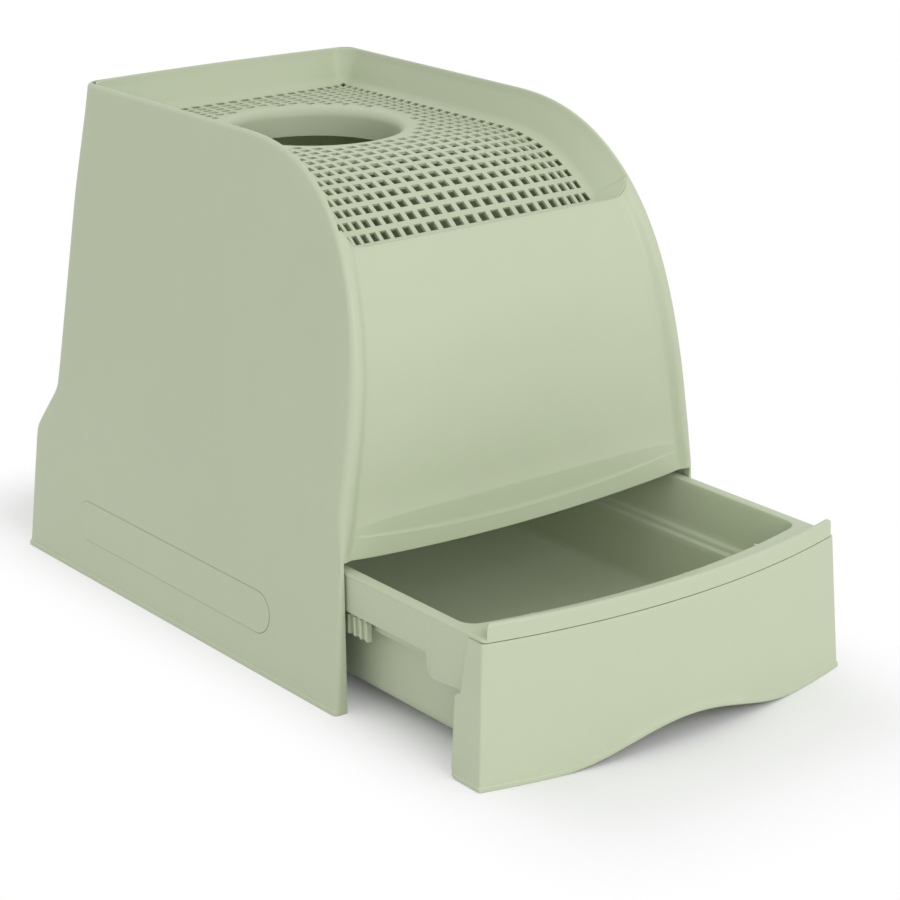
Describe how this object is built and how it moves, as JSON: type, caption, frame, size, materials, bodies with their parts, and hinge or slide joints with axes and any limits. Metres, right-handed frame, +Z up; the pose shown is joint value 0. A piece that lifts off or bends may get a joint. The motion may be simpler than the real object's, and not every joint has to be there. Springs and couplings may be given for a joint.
{
  "type": "drawer litter box",
  "caption": "Top-entry litter box: a tall plastic hood with a perforated lift-out deck and round entry, over a pull-out litter drawer on side runners with sprung stop latches.",
  "frame": {"origin": "centre of the footprint on the floor, with the drawer pulled out to its stop", "axes": "+Z up, front and drawer towards -Y, +X to the right as seen from the front"},
  "size_m": [0.395, 0.6967, 0.44],
  "materials": {
    "hood_plastic": "satin moulded polypropylene, sage green",
    "deck_plastic": "satin moulded polypropylene, sage green",
    "pan_plastic": "satin moulded polypropylene, sage green",
    "front_plastic": "satin moulded polypropylene, sage green",
    "plate_plastic": "satin moulded polypropylene, sage green",
    "runner_plastic": "smooth low-friction plastic, sage green",
    "latch_plastic": "satin moulded polypropylene, sage green",
    "screw_steel": "zinc-plated steel"
  },
  "bodies": {
    "hood": {"hood_shell": "hood_plastic", "hood_skirt": "hood_plastic", "jamb_left": "hood_plastic", "jamb_right": "hood_plastic", "side_plate_left": "plate_plastic", "side_plate_right": "plate_plastic", "runner_left": "runner_plastic", "runner_right": "runner_plastic", "runner_screws": "screw_steel"},
    "deck": {"entry_deck": "deck_plastic"},
    "drawer": {"litter_pan": "pan_plastic", "drawer_front": "front_plastic", "front_screws": "screw_steel"},
    "latch_left": {"latch_tab_left": "latch_plastic"},
    "latch_right": {"latch_tab_right": "latch_plastic"}
  },
  "joints": [
    {"name": "drawer_slide", "type": "slide", "parent": "hood", "child": "drawer", "axis": [0, 1, 0], "range_m": [0, 0.142]},
    {"name": "deck_lift", "type": "slide", "parent": "hood", "child": "deck", "axis": [0, 0, 1], "range_m": [0, 0.15]},
    {"name": "latch_left_press", "type": "hinge", "parent": "drawer", "child": "latch_left", "pos_m": [-0.1774, -0.14585, 0.1], "axis": [0, -1, 0], "range_deg": [0, 7.5], "stiffness_Nm_per_rad": 0.5},
    {"name": "latch_right_press", "type": "hinge", "parent": "drawer", "child": "latch_right", "pos_m": [0.1774, -0.14585, 0.1], "axis": [0, 1, 0], "range_deg": [0, 7.5], "stiffness_Nm_per_rad": 0.5}
  ]
}
